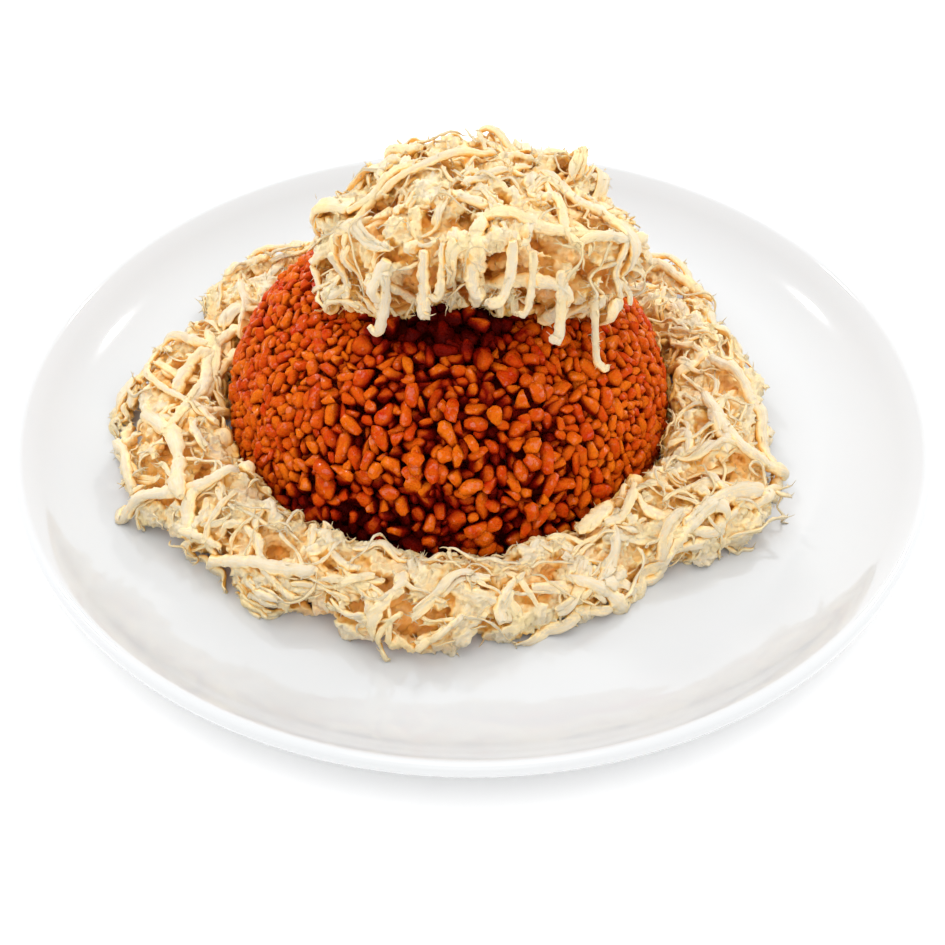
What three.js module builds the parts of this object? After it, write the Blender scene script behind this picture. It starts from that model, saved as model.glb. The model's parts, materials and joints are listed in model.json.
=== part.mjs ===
// Bulgur pilaf with pulled chicken on a plate: a dome of bulgur turned out of a bowl, a ring of pulled
// chicken round its foot, a heap of it on top, and the coupe plate that carries everything.
// Millimetres, +Z up. The origin is the centre of the plate's foot, on the table.
import * as THREE from "three";

// Plate.
const PLATE_RADIUS = 135;
const PLATE_WALL = 4.2;
const WELL_HEIGHT = 6.5; // top of the flat well above the table
const WELL_RADIUS = 106; // where the well starts to curve up
const RIM_CURVE = 32; // radius of the bend from well to rim
const RIM_SLOPE = THREE.MathUtils.degToRad(42);
const FOOT_RADIUS = 80; // outside of the foot ring
const FOOT_WIDTH = 4.5;
const FOOT_TAPER = 1.2; // how much the foot ring widens from its tip to the underside

// Dome of bulgur.
const FOOD_X = -7; // the dome stands a little left of the plate's centre
const DOME_RADIUS = 66.5;
const DOME_HEIGHT = 56;
const DOME_SQUARENESS = 2.4; // superellipse exponent of the bowl that shaped it
const DOME_UNEVEN = 0.011; // share of the radius by which the grains stand in and out

// Ring of chicken.
const RING_RADIUS = 93; // where the ring meets the plate
const RING_WANDER = 3; // how far its edge wanders in and out
const RING_HEIGHT = 19;
const RING_CREST = 9; // how far outside the dome the ring is highest
const RING_ROUGH = 1.4; // height of its lumps
const RING_LEAN = 0.55; // how many of the dome's rows each row of its inner wall climbs
const RING_LIFT = 1.15; // the ring rises this much faster than the bend of the plate below it
// Long strips make the outline stand out in a few places: angle and width in degrees, reach in mm.
const RING_STRIPS = [
  { at: -115, reach: 15, width: 7 },
  { at: -96, reach: 9, width: 6 },
  { at: -26, reach: 12, width: 14 },
  { at: 38, reach: 9, width: 18 },
  { at: 146, reach: 5, width: 16 },
  { at: -174, reach: 8, width: 15 },
];

// Heap of chicken on top.
const HEAP_X = 1;
const HEAP_LEAN = 4; // its top stands this much further right
const HEAP_Y = 1;
const HEAP_RADIUS = 44; // to its left and right
const HEAP_DEPTH = 0.88; // share of that radius to its front and back
const HEAP_TOP = 92; // above the well
const HEAP_SHOULDER = 0.86; // lower is squarer
const HEAP_FOOT = 0.97; // share of its outline that rests on the dome
const HEAP_ROUGH = 1.5; // height of its lumps
// It slumps down the dome's right shoulder and its left front: angle and width in degrees, reach in mm.
const HEAP_LOBES = [
  { at: -18, reach: 3, width: 34 },
  { at: -160, reach: 4, width: 28 },
];

const GAP = 0.4; // clearance between pieces that touch
const ROUND = 64; // segments round the food
const PLATE_ROUND = 80;
const DOME_ROWS = 12;

const QUARTER = Math.PI / 2;
const root = new THREE.Group();

const looks = {
  glaze: new THREE.MeshStandardMaterial({ color: 0xf1f1ef, roughness: 0.12, metalness: 0 }),
  bulgur: new THREE.MeshStandardMaterial({ color: 0xc0500f, roughness: 0.35, metalness: 0 }),
  chicken: new THREE.MeshStandardMaterial({ color: 0xe9d2a2, roughness: 0.55, metalness: 0 }),
};

function add(name, geometry, look) {
  const mesh = new THREE.Mesh(geometry, look);
  mesh.name = name;
  root.add(mesh);
}

// A smooth uneven value between about -1 and 1 at an angle, whose waves fit the full turn a whole number
// of times, so that a closed outline stays closed. The level shifts the waves from row to row.
function waves(angle, level, seed) {
  const turns = [2, 3, 5, 7, 11];
  let sum = 0;
  for (const [i, n] of turns.entries()) {
    const start = 1.7 * seed * (i + 1);
    const drift = level * (0.11 + 0.05 * i);
    sum += Math.sin(n * angle + start + drift) / Math.sqrt(i + 1);
  }
  return sum / Math.sqrt(turns.length);
}

// How far lumps make an outline stand out at an angle: each is highest at its middle.
function standOut(angle, lumps) {
  const rad = THREE.MathUtils.degToRad;
  return lumps.reduce((sum, lump) => {
    const past = angle - rad(lump.at);
    const off = Math.atan2(Math.sin(past), Math.cos(past));
    return sum + lump.reach * Math.exp(-((off / rad(lump.width)) ** 2));
  }, 0);
}

// One row of a skin: the point that a function gives for each angle.
function row(point) {
  return Array.from({ length: ROUND }, (_, k) => point((k / ROUND) * 2 * Math.PI));
}

// A closed skin from rows of points that each go once round: the first and last rows are single points
// or, for a ring, the last row joins the first.
function skin(rows, joined) {
  const starts = rows.map((_, i) => rows.slice(0, i).flat().length);
  const corner = (i, k) => starts[i] + (rows[i].length > 1 ? k % ROUND : 0);
  const faces = [];
  const bands = joined ? rows.length : rows.length - 1;
  for (let i = 0; i < bands; i++) {
    const next = (i + 1) % rows.length;
    for (let k = 0; k < ROUND; k++) {
      const [a, b, c, d] = [corner(i, k), corner(i, k + 1), corner(next, k), corner(next, k + 1)];
      if (a !== b) faces.push(a, b, c);
      if (c !== d) faces.push(b, d, c);
    }
  }
  const places = rows.flat().flatMap((point) => point.toArray());
  const made = new THREE.BufferGeometry();
  made.setAttribute("position", new THREE.Float32BufferAttribute(places, 3));
  made.setIndex(faces);
  made.computeVertexNormals();
  return made;
}

// --- Plate: flat well, one bend up to a plain sloping rim with a round lip, and a foot ring below.
function plateOutline() {
  const bend = { r: WELL_RADIUS, z: WELL_HEIGHT + RIM_CURVE };
  const lip = PLATE_WALL / 2;
  const out = new THREE.Vector2(Math.cos(RIM_SLOPE), Math.sin(RIM_SLOPE));
  const down = new THREE.Vector2(out.y, -out.x);
  const bendEnd = new THREE.Vector2(bend.r, bend.z).addScaledVector(down, RIM_CURVE);
  const rise = (PLATE_RADIUS - lip - bendEnd.x - lip * down.x) / out.x;
  const lipMiddle = bendEnd.clone().addScaledVector(out, rise).addScaledVector(down, lip);
  const under = WELL_HEIGHT - PLATE_WALL;
  const footInside = FOOT_RADIUS - FOOT_WIDTH;
  const outline = new THREE.Path();
  outline.moveTo(0, under);
  outline.lineTo(footInside - FOOT_TAPER, under);
  outline.lineTo(footInside, 0);
  outline.lineTo(FOOT_RADIUS, 0);
  outline.lineTo(FOOT_RADIUS + FOOT_TAPER, under);
  outline.absarc(bend.r, bend.z, RIM_CURVE + PLATE_WALL, -QUARTER, RIM_SLOPE - QUARTER, false);
  outline.absarc(lipMiddle.x, lipMiddle.y, lip, RIM_SLOPE - QUARTER, RIM_SLOPE + QUARTER, false);
  outline.absarc(bend.r, bend.z, RIM_CURVE, RIM_SLOPE - QUARTER, -QUARTER, true);
  outline.lineTo(0, WELL_HEIGHT);
  return outline.getPoints(4);
}

// How far the plate's surface has risen above the flat well at a point.
function plateRise(x, y) {
  const past = Math.max(0, Math.hypot(x, y) - WELL_RADIUS);
  return RIM_CURVE - Math.sqrt(RIM_CURVE ** 2 - past ** 2);
}

function plate() {
  const points = plateOutline().filter((p, i, all) => i === 0 || p.distanceTo(all[i - 1]) > 0.01);
  const turned = new THREE.LatheGeometry(points, PLATE_ROUND);
  turned.rotateX(QUARTER);
  add("plate", turned, looks.glaze);
}

// --- Dome: the bowl's superellipse, with grains standing in and out of it.
// Its surface is found by a climb from 0 at the foot to a quarter turn at the top.
function domePoint(angle, climb) {
  const power = 2 / DOME_SQUARENESS;
  const uneven = DOME_UNEVEN * waves(angle, THREE.MathUtils.radToDeg(climb), 1);
  return {
    r: DOME_RADIUS * Math.cos(climb) ** power * (1 + uneven),
    z: DOME_HEIGHT * Math.sin(climb) ** power * (1 - uneven),
  };
}

// How high the dome stands over a point at this distance and angle from its axis.
function domeHeight(angle, r) {
  const share = Math.min(1, r / DOME_RADIUS);
  const climb = Math.acos(share ** (DOME_SQUARENESS / 2));
  return domePoint(angle, climb).z;
}

function dome() {
  const at = (angle, r, z) =>
    new THREE.Vector3(FOOD_X + r * Math.cos(angle), r * Math.sin(angle), WELL_HEIGHT + GAP + z);
  const rows = [[at(0, 0, 0)]];
  for (let i = 0; i < DOME_ROWS; i++) {
    const climb = (i / DOME_ROWS) * QUARTER;
    rows.push(row((angle) => at(angle, domePoint(angle, climb).r, domePoint(angle, climb).z)));
  }
  rows.push([at(0, 0, DOME_HEIGHT)]);
  add("bulgur_mound", skin(rows, false), looks.bulgur);
}

// --- Ring of pulled chicken: it leans on the dome, crests beside it and tumbles out onto the well.
function ringReach(angle) {
  return RING_RADIUS + RING_WANDER * waves(angle, 0, 4) + standOut(angle, RING_STRIPS);
}

function ringHeight(angle) {
  return RING_HEIGHT * (1 + 0.22 * waves(angle, 0, 9));
}

function ring() {
  const at = (angle, r, z) => {
    const x = FOOD_X + r * Math.cos(angle);
    const y = r * Math.sin(angle);
    return new THREE.Vector3(x, y, WELL_HEIGHT + GAP + RING_LIFT * plateRise(x, y) + z);
  };
  // The inner wall climbs in the dome's own steps, so that the two faces stay parallel.
  const rows = [];
  for (let i = 3; i >= 0; i--) {
    const climb = ((i * RING_LEAN) / DOME_ROWS) * QUARTER;
    const clear = i ? 1 : GAP;
    const lean = (angle) => ringHeight(angle) / RING_HEIGHT;
    const wall = (angle) => domePoint(angle, climb);
    rows.push(row((angle) => at(angle, wall(angle).r + clear, wall(angle).z * lean(angle))));
  }
  // The outer slope goes from the plate back up and over the crest.
  const outerRows = 8;
  for (let i = 0; i < outerRows; i++) {
    const share = i / outerRows;
    const rise = Math.sin(share * QUARTER) ** 0.85;
    const spread = Math.cos(share * QUARTER) ** 0.75;
    const hookBack = RING_CREST * 0.6 * share ** 3;
    const outer = (angle) => {
      const crest = domePoint(angle, 0).r + RING_CREST;
      const rough = i ? RING_ROUGH * waves(angle, 60 * share, 6) : 0;
      const r = crest + (ringReach(angle) - crest) * spread - hookBack + rough;
      return at(angle, r, (ringHeight(angle) + rough) * rise);
    };
    rows.push(row(outer));
  }
  add("chicken_ring", skin(rows, true), looks.chicken);
}

// --- Heap of pulled chicken on top: it covers the crown of the dome and hangs over its own foot.
function heapOutline(angle) {
  const oval = HEAP_RADIUS / Math.hypot(Math.cos(angle), Math.sin(angle) / HEAP_DEPTH);
  return oval * (1 + 0.05 * waves(angle, 0, 2)) + standOut(angle, HEAP_LOBES);
}

function heap() {
  const at = (x, y, z) => new THREE.Vector3(x, y, WELL_HEIGHT + GAP + z);
  // The point of the heap's underside this far from its middle, just clear of the dome.
  const under = (angle, r) => {
    const x = HEAP_X + r * Math.cos(angle);
    const y = HEAP_Y + r * Math.sin(angle);
    const fromAxis = { r: Math.hypot(x - FOOD_X, y), angle: Math.atan2(y, x - FOOD_X) };
    return at(x, y, domeHeight(fromAxis.angle, fromAxis.r) + 1.5 * GAP);
  };
  const underRows = 5;
  const overRows = 9;
  const rows = [[under(0, 0)]];
  for (let i = 1; i <= underRows; i++) {
    rows.push(row((angle) => under(angle, (heapOutline(angle) * HEAP_FOOT * i) / underRows)));
  }
  for (let i = 1; i < overRows; i++) {
    const share = i / overRows;
    const rise = Math.sin(share * QUARTER);
    const spread = Math.cos(share * QUARTER) ** HEAP_SHOULDER;
    const over = (angle) => {
      const rough = HEAP_ROUGH * waves(angle, 70 * share, 3);
      const foot = under(angle, HEAP_FOOT * heapOutline(angle)).z - WELL_HEIGHT - GAP;
      const r = heapOutline(angle) * spread + rough;
      const x = HEAP_X + HEAP_LEAN * rise + r * Math.cos(angle);
      return at(x, HEAP_Y + r * Math.sin(angle), foot + (HEAP_TOP + rough - foot) * rise);
    };
    rows.push(row(over));
  }
  rows.push([at(HEAP_X + HEAP_LEAN, HEAP_Y, HEAP_TOP)]);
  add("chicken_heap", skin(rows, false), looks.chicken);
}

plate();
dome();
ring();
heap();

export default root;
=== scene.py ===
import json
import math

import bmesh
import bpy
import numpy as np
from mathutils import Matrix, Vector, noise
from mathutils.kdtree import KDTree

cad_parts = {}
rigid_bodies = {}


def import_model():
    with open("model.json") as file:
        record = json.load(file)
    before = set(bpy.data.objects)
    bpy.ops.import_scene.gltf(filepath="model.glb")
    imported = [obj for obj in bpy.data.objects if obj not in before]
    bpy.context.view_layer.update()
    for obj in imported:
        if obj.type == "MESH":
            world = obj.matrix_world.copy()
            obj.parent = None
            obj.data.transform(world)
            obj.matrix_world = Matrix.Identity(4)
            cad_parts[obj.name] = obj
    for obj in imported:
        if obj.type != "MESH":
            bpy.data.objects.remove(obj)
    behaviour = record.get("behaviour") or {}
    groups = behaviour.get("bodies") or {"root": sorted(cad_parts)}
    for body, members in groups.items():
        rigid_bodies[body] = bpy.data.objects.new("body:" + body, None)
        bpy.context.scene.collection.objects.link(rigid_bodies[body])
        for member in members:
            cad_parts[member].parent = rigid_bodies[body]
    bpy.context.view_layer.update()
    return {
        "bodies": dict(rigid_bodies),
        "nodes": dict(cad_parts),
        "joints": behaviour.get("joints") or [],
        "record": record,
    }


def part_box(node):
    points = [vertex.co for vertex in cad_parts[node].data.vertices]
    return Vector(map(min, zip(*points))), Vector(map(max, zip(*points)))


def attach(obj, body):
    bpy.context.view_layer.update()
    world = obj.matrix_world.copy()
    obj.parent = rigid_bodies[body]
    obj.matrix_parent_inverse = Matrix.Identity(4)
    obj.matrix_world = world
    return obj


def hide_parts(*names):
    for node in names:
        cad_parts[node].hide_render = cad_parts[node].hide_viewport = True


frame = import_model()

plate_low, plate_high = (np.array(corner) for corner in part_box("plate"))
mound_low, mound_high = (np.array(corner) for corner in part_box("bulgur_mound"))

# --- Camera: a seated diner's eye on the near side of the plate, looking down across the food.
# It is made first, so that everything else can be judged through it.
CAMERA_FROM_UPRIGHT = math.radians(45.49)
CAMERA_REACH = 0.3813  # lens to the point that it looks at
CAMERA_AIM = Vector((0, -0.0256, 0.0065))  # a little to the diner's side of the plate's middle
CAMERA_LENS = 49.44


def put(name, data):
    """A new object of the scene that shows a mesh, a light or a camera."""
    made = bpy.data.objects.new(name, data)
    bpy.context.scene.collection.objects.link(made)
    return made


camera = put("camera", bpy.data.cameras.new("camera"))
camera.data.lens = CAMERA_LENS
camera.data.sensor_width = 36
camera.data.clip_start = 0.01
camera.rotation_euler = (CAMERA_FROM_UPRIGHT, 0, 0)
camera.location = CAMERA_AIM + CAMERA_REACH * Vector(
    (0, -math.sin(CAMERA_FROM_UPRIGHT), math.cos(CAMERA_FROM_UPRIGHT))
)
bpy.context.scene.camera = camera
bpy.context.scene.view_settings.view_transform = "Standard"


# --- Table and light: a plain white table top under two large lamps behind the plate and a soft one
# above it, in a bright plain room, as a dish is set out for a menu.
class Wire:
    """An output in a node tree. Sums on it make Math nodes, and add() makes any other node."""

    def __init__(self, tree, socket=None):
        self.tree = tree
        self.socket = socket

    def add(self, kind, sockets=None, out=0, **settings):
        """A new node with wires or values in its sockets; a Wire from one of its outputs."""
        node = self.tree.nodes.new(kind)
        for key, value in settings.items():
            setattr(node, key, value)
        for key, value in (sockets or {}).items():
            if isinstance(value, Wire):
                self.tree.links.new(value.socket, node.inputs[key])
            else:
                node.inputs[key].default_value = value
        return Wire(self.tree, node.outputs[out])

    def out(self, name):
        """Another output of the same node."""
        return Wire(self.tree, self.socket.node.outputs[name])

    def maths(self, operation, first, second):
        """A Math node, and a Wire from it."""
        return self.add("ShaderNodeMath", {0: first, 1: second}, operation=operation)

    def blotches(self, scale, detail, **more):
        """Soft noise over a place, one blotch for each 1 / scale metres."""
        return self.add("ShaderNodeTexNoise", {"Vector": self, "Scale": scale, "Detail": detail, **more})

    def ranged(self, low, high, most=1.0):
        """From 0 where this is low to most where it is high, and no further."""
        return self.add("ShaderNodeMapRange", {"Value": self, 1: low, 2: high, 4: most})

    def __add__(self, other):
        return self.maths("ADD", self, other)

    def __radd__(self, other):
        return self.maths("ADD", other, self)

    def __sub__(self, other):
        return self.maths("SUBTRACT", self, other)

    def __rsub__(self, other):
        return self.maths("SUBTRACT", other, self)

    def __mul__(self, other):
        return self.maths("MULTIPLY", self, other)

    def __rmul__(self, other):
        return self.maths("MULTIPLY", other, self)

    def __pow__(self, other):
        return self.maths("POWER", self, other)


def finish(name, shine, look):
    """A material with fixed values in its Principled shader, whose other sockets a look fills."""
    made = bpy.data.materials.new(name)
    made.use_nodes = True
    shader = made.node_tree.nodes["Principled BSDF"]
    for socket, value in shine.items():
        shader.inputs[socket].default_value = value
    look(Wire(made.node_tree), shader.inputs)
    return made


def link(wire, socket):
    """Joins a wire to a socket."""
    wire.tree.links.new(wire.socket, socket)


MIX_COLOURS = (6, 7)  # the numbers of a Mix node's two colour sockets, whose names it has several times
MIX_RESULT = 2  # and of the colour that comes out


def mixed(wire, factor, first, second):
    """A colour between two colours, each a wire or red, green and blue."""
    sockets = {0: factor}
    for number, colour in zip(MIX_COLOURS, (first, second)):
        sockets[number] = colour if isinstance(colour, Wire) else (*colour, 1)
    return wire.add("ShaderNodeMix", sockets, MIX_RESULT, data_type="RGBA")


def placed_at(wire):
    """The place on a piece, in metres."""
    return wire.add("ShaderNodeTexCoord", out="Object")


def table_top(wire, sockets):
    """White that is a trace uneven."""
    cloudy = placed_at(wire).blotches(3.0, 2.0)
    link(mixed(wire, cloudy, (0.93, 0.93, 0.93), (0.97, 0.97, 0.97)), sockets["Base Color"])


FLOOR_REACH = 4.0  # from the plate's middle to the table's edges, past all that the camera sees
floor = put("table_top", bpy.data.meshes.new("table_top"))
floor_ways = ((-1, -1), (1, -1), (1, 1), (-1, 1))
floor_corners = [(x * FLOOR_REACH, y * FLOOR_REACH, plate_low[2]) for x, y in floor_ways]
floor.data.from_pydata(floor_corners, [], [(0, 1, 2, 3)])
floor.data.materials.append(finish("table_top_finish", {"Roughness": 0.6}, table_top))

LAMPS = [  # name, place, size, watts
    ("lamp_left", (-0.52, 0.64, 1.0), 0.13, 2.6),
    ("lamp_right", (0.50, 0.78, 1.0), 0.13, 2.6),
    ("lamp_above", (0.0, 0.0, 1.3), 0.6, 1.6),
    ("lamp_front", (0.0, -0.9, 0.8), 0.5, 0.4),
]
for lamp_name, lamp_place, lamp_size, watts in LAMPS:
    lamp = put(lamp_name, bpy.data.lights.new(lamp_name, "AREA"))
    lamp.data.shape = "DISK"
    lamp.data.size = lamp_size
    lamp.data.energy = watts
    lamp.location = lamp_place
    lamp.rotation_euler = (-Vector(lamp_place)).to_track_quat("-Z", "Y").to_euler()

ROOM_LIGHT = 1.55  # what the walls give back; seen directly they are as white as the table
room = bpy.data.worlds.new("room")
room.use_nodes = True
walls = Wire(room.node_tree)
seen = walls.add("ShaderNodeLightPath", out="Is Camera Ray")
background = room.node_tree.nodes["Background"]
background.inputs["Color"].default_value = (1, 1, 1, 1)
link(ROOM_LIGHT + seen * (1.0 - ROOM_LIGHT), background.inputs["Strength"])
bpy.context.scene.world = room

# --- Plate: a coupe plate of white porcelain, pressed in one piece and dipped in clear glaze. Its flat
# well turns up in one bend, and the tip of its foot ring is wiped bare of glaze before firing.
WELL_HEIGHT = 0.0065
WELL_RADIUS = 0.106
RIM_CURVE = 0.032  # radius of the bend from the well to the rim
RIM_SLOPE = math.radians(42)
PLATE_WALL = 0.0042
PLATE_RADIUS = plate_high[0]
FOOT_RADIUS = 0.080
FOOT_WIDTH = 0.0045
FOOT_TAPER = 0.0012  # how much wider the foot ring is where it leaves the plate
GLAZE_ROUND = 0.0009  # how softly the glaze rounds the corners of the foot
PLATE_STEPS = 160
GLAZE_LINE = 0.0009  # height up to which the foot's tip is wiped bare


def arc(middle, radius, start, end, steps):
    """Points of an outline along a round stretch."""
    turns = np.linspace(start, end, steps)
    return [(middle[0] + radius * math.cos(a), middle[1] + radius * math.sin(a)) for a in turns]


def plate_outline():
    """The plate's half section, from the axis underneath, over the lip, back to the axis on top."""
    quarter = math.pi / 2
    bend = (WELL_RADIUS, WELL_HEIGHT + RIM_CURVE)
    lip = PLATE_WALL / 2
    out = np.array((math.cos(RIM_SLOPE), math.sin(RIM_SLOPE)))
    down = np.array((out[1], -out[0]))
    bend_end = np.array(bend) + down * RIM_CURVE
    rise = (PLATE_RADIUS - lip - bend_end[0] - lip * down[0]) / out[0]
    lip_middle = bend_end + out * rise + down * lip
    under = WELL_HEIGHT - PLATE_WALL
    soft = GLAZE_ROUND
    inner = FOOT_RADIUS - FOOT_WIDTH
    outline = [(r, under) for r in np.linspace(0, inner - 3 * soft, 8)]
    outline += arc((inner - soft, under - soft), soft, quarter, 0, 4)
    outline += arc((inner + soft, soft), soft, 2 * quarter, 3 * quarter, 4)
    outline += arc((FOOT_RADIUS - soft, soft), soft, -quarter, 0, 4)
    outline += arc((FOOT_RADIUS + FOOT_TAPER + soft, under - soft), soft, 2 * quarter, quarter, 4)
    outline += [(r, under) for r in np.linspace(FOOT_RADIUS + 3 * soft, WELL_RADIUS - soft, 5)]
    outline += arc(bend, RIM_CURVE + PLATE_WALL, -quarter, RIM_SLOPE - quarter, 12)
    outline += arc(lip_middle, lip, RIM_SLOPE - quarter, RIM_SLOPE + quarter, 9)
    outline += arc(bend, RIM_CURVE, RIM_SLOPE - quarter, -quarter, 14)
    outline += [(r, WELL_HEIGHT) for r in np.linspace(WELL_RADIUS - soft, 0, 12)]
    return outline


def ringed_faces(rings, steps):
    """The faces of a body of rings of corners, one above the other, between two single corners."""
    faces = []
    last = 1 + (rings - 1) * steps
    for k in range(steps):
        after = (k + 1) % steps
        faces.append((0, 1 + after, 1 + k))
        for row in range(1, last, steps):
            above = row + steps
            faces.append((row + k, row + after, above + after, above + k))
        faces.append((last + k, last + after, last + steps))
    return faces


def turned(outline, steps):
    """The corners and faces of a half section turned once round the Z axis; its ends are on the axis."""
    turns = np.linspace(0, 2 * math.pi, steps, endpoint=False)
    corners = [(0, 0, outline[0][1])]
    for r, z in outline[1:-1]:
        corners += [(r * math.cos(a), r * math.sin(a), z) for a in turns]
    corners.append((0, 0, outline[-1][1]))
    return corners, ringed_faces(len(outline) - 2, steps)


def piece_of(name, corners, faces, material):
    """A smooth mesh object at the origin."""
    made = put(name, bpy.data.meshes.new(name))
    made.data.from_pydata([tuple(c) for c in corners], [], faces)
    made.data.materials.append(material)
    made.data.shade_smooth()
    made.data.update()
    return made


def serve(piece, node):
    """The piece stands for a solid of the frame and rides on the dish."""
    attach(piece, "root")
    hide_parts(node)


def dent(height, strength, distance, sockets):
    """Lets the light fall on a finish as if it rose and sank with a wire."""
    depth = {"Height": height, "Strength": strength, "Distance": distance}
    link(height.add("ShaderNodeBump", depth), sockets["Normal"])


def glaze(wire, sockets):
    """Clear glaze over white, pooled a little unevenly; the tip of the foot is bare, rough body."""
    place = placed_at(wire)
    height = wire.add("ShaderNodeSeparateXYZ", {"Vector": place}, out="Z")
    bare = height.ranged(GLAZE_LINE, 0.0002)
    pooled = place.blotches(14.0, 3.0)
    specks = place.blotches(1500.0, 1.0)
    ripple = place.blotches(60.0, 2.0)
    white = mixed(wire, pooled, (0.508, 0.519, 0.528), (0.532, 0.538, 0.541))
    link(mixed(wire, bare, white, (0.70, 0.66, 0.60)), sockets["Base Color"])
    link(0.10 + 0.06 * pooled + 0.5 * bare, sockets["Roughness"])
    link(1.0 - bare, sockets["Coat Weight"])
    dent(ripple * 0.5 + specks * (bare * 2.0 + 0.02), 0.25, 0.0002, sockets)


glaze_finish = finish("plate_glaze", {"IOR": 1.5, "Specular IOR Level": 0.1, "Coat Roughness": 0.04}, glaze)
plate = piece_of("porcelain_plate", *turned(plate_outline(), PLATE_STEPS), glaze_finish)
serve(plate, "plate")

# --- Bulgur, inside: the body of the dome, wheat broken coarse, simmered in tomato and pepper paste
# and pressed into a bowl. Where it was pressed, red sauce fills it almost to the skin; in front, where
# it slumped, it shows only deep between the grains, wet, and painted dark as the shade there.
DOME_X = (mound_low[0] + mound_high[0]) / 2
DOME_FOOT = np.array((DOME_X, 0, WELL_HEIGHT))
DOME_RADIUS = 0.0665
DOME_HEIGHT = 0.056
DOME_SQUARENESS = 2.4  # superellipse exponent of the bowl that shaped it
PRESSED_SINK = 0.0040  # sauce below the skin where it was pressed
LOOSE_SINK = 0.0072
FRONT = math.radians(-92)  # azimuth of the middle of the loose stretch
FRONT_HALF = math.radians(42)
SHADOW_CROWN = 0.0500  # height over the well from which the crown under the meat is painted in shadow
SAUCE_RUN = math.radians(-114)  # azimuth where sauce ran down and stands between the grains
SAUCE_RUN_HALF = math.radians(20)
SAUCE_RUN_TOP = 0.022
CORE_LIFT = 0.0003  # gap between the bulgur and the plate's glaze


def dome_face(points, sink):
    """Points moved straight away from the middle of the dome's foot until they lie sink below its skin."""
    near = points - DOME_FOOT
    across = np.hypot(near[..., 0], near[..., 1]) / (DOME_RADIUS - sink)
    up = np.maximum(near[..., 2], 0) / (DOME_HEIGHT - sink)
    stretch = (across**DOME_SQUARENESS + up**DOME_SQUARENESS) ** (-1 / DOME_SQUARENESS)
    return DOME_FOOT + near * stretch[..., None]


def dome_out(points):
    """The direction straight out of the dome's skin at points on it."""
    near = points - DOME_FOOT
    across = np.maximum(np.hypot(near[..., 0], near[..., 1]), 1e-6)
    lean = (across / DOME_RADIUS) ** (DOME_SQUARENESS - 1) / DOME_RADIUS
    rise = (np.maximum(near[..., 2], 0) / DOME_HEIGHT) ** (DOME_SQUARENESS - 1) / DOME_HEIGHT
    out = np.stack((near[..., 0] / across * lean, near[..., 1] / across * lean, rise), -1)
    return out / np.linalg.norm(out, axis=-1, keepdims=True)


def azimuth(points):
    """The way that points lie from the dome's axis, in radians from +X."""
    return np.arctan2(points[..., 1], points[..., 0] - DOME_X)


def off_by(turn, at):
    """How far azimuths are from another one, the short way round."""
    return np.arctan2(np.sin(turn - at), np.cos(turn - at))


def looseness(points):
    """From 0 where the dome is pressed firm to 1 in front, where its grains lie loose."""
    return np.exp(-((off_by(azimuth(points), FRONT) / FRONT_HALF) ** 4))


def soaked(points):
    """From 0 to 1: painted shadow at the crown under the meat, and sauce that ran low in front, painted dark
    there as shade too.
    """
    up = points[..., 2] - WELL_HEIGHT
    off = (azimuth(points) - SAUCE_RUN) / SAUCE_RUN_HALF
    # painted shadow: the crown under the heap's overhang, in front
    crown = np.clip((up - SHADOW_CROWN) / 0.0026, 0, 1) * np.clip(1.8 * looseness(points), 0, 1)
    return np.maximum(crown, np.clip((SAUCE_RUN_TOP - up) / 0.008, 0, 1) * np.exp(-(off**2)))


def uneven(points, scale, seed):
    """Smooth noise between about -1 and 1 at points, one lump for each 1 / scale metres."""
    shift = Vector((seed * 7.3, seed * 3.1, seed * 5.7))
    return np.array([noise.noise(Vector(p) * scale + shift) for p in np.atleast_2d(points)])


def note(mesh, name, values):
    """Keeps a number or a vector on every corner of a mesh, for its finish or its tree to read."""
    values = np.ascontiguousarray(values, dtype=np.float32)
    kind, field = ("FLOAT", "value") if values.ndim == 1 else ("FLOAT_VECTOR", "vector")
    mesh.attributes.new(name, kind, "POINT").data.foreach_set(field, values.ravel())


def noted(wire, name, out="Fac"):
    """What note() kept on a piece's corners, in its finish."""
    return wire.add("ShaderNodeAttribute", out=out, attribute_name=name)


def corners_of(piece):
    """The places of a piece's corners."""
    corners = np.empty(len(piece.data.vertices) * 3, dtype=np.float32)
    piece.data.vertices.foreach_get("co", corners)
    return corners.reshape(-1, 3)


def outward(piece):
    """The way out of a piece's surface at every corner."""
    out = np.empty(len(piece.data.vertices) * 3, dtype=np.float32)
    piece.data.vertex_normals.foreach_get("vector", out)
    return out.reshape(-1, 3)


def bulgur_core():
    """The dome's outline turned round its axis and sunk below its skin, lumpy where sauce pooled."""
    power = 2 / DOME_SQUARENESS
    outline = [(0, WELL_HEIGHT + CORE_LIFT)]
    for climb in np.linspace(0, math.pi / 2, 42)[:-1]:
        r = DOME_RADIUS * math.cos(climb) ** power
        outline.append((r, WELL_HEIGHT + CORE_LIFT + DOME_HEIGHT * math.sin(climb) ** power))
    outline.append((0, WELL_HEIGHT + DOME_HEIGHT))
    corners, faces = turned(outline, 130)
    corners = np.array(corners) + (DOME_X, 0, 0)
    sink = PRESSED_SINK + (LOOSE_SINK - PRESSED_SINK) * looseness(corners)
    sink = sink - uneven(corners, 260, 1) * 0.0007 - uneven(corners, 90, 2) * 0.0006
    above = corners[:, 2] > WELL_HEIGHT + 0.001
    corners[above] -= (dome_out(corners) * sink[:, None])[above]
    low = ~above
    corners[low, :2] = (DOME_X, 0) + (corners[low, :2] - (DOME_X, 0)) * (1 - sink[low, None] / DOME_RADIUS)
    return corners, faces


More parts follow.
